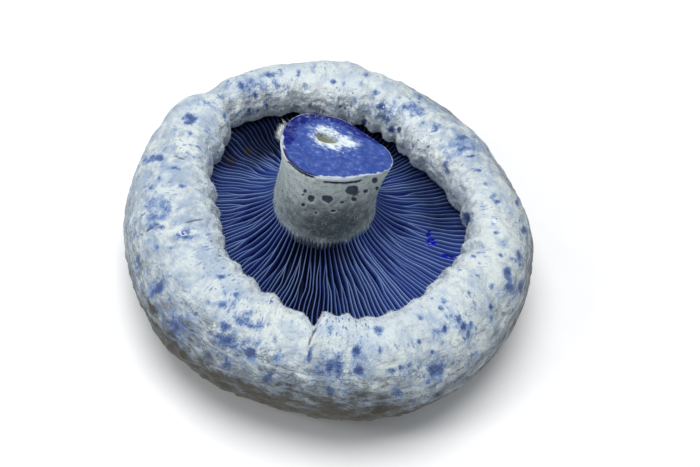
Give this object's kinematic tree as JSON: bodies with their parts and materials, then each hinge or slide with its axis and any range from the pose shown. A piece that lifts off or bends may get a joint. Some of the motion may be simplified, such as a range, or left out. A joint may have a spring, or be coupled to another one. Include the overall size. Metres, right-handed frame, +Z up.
{
  "type": "indigo milk cap mushroom",
  "caption": "Young indigo milk cap picked and laid on its cap: fat pale-blue inrolled margin, indigo gills and a pale stem cut slantwise, showing a deep blue cut face.",
  "frame": {"origin": "middle of the outline on the surface that the cap lies on", "axes": "+Z up, from the cap's underside towards the cut stem; -Y is the side that the picture shows"},
  "size_m": [0.0826, 0.081, 0.039],
  "materials": {
    "cap_skin": "pale silvery blue skin, matt, with blue wet pits",
    "gill": "indigo, satin, paler along the edges",
    "stem_skin": "grey, downy, with slate pits; the cut face is wet deep blue"
  },
  "bodies": {
    "root": {"cap": "cap_skin", "gills": "gill", "stem": "stem_skin"}
  },
  "joints": []
}
